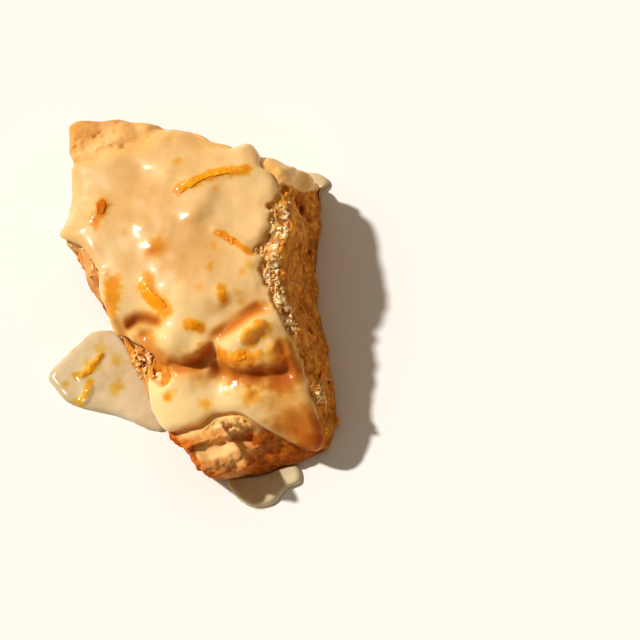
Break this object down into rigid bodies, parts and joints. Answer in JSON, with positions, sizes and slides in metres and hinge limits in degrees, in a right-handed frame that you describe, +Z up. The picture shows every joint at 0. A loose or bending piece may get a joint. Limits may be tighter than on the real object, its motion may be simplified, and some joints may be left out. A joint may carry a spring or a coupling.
{
  "type": "orange scone",
  "caption": "Broken half of a wedge-shaped orange scone: flat underside, craggy crust, a crumbly broken side, glaze with candied peel over the top and glaze run off round its foot.",
  "frame": {"origin": "on the surface that the piece stands on, under the middle of its bounding box, run-off glaze included", "axes": "+Z up; +Y along the broken side towards the wide back corner; +X towards the broken side"},
  "size_m": [0.075, 0.0998, 0.0325],
  "materials": {
    "crust": "dry baked crust and crumb, golden brown",
    "glaze": "wet sugar glaze with orange peel, cream coloured"
  },
  "bodies": {
    "root": {"scone": "crust", "glaze": "glaze", "glaze_pool_side": "glaze", "glaze_pool_front": "glaze", "glaze_pool_back": "glaze"}
  },
  "joints": []
}
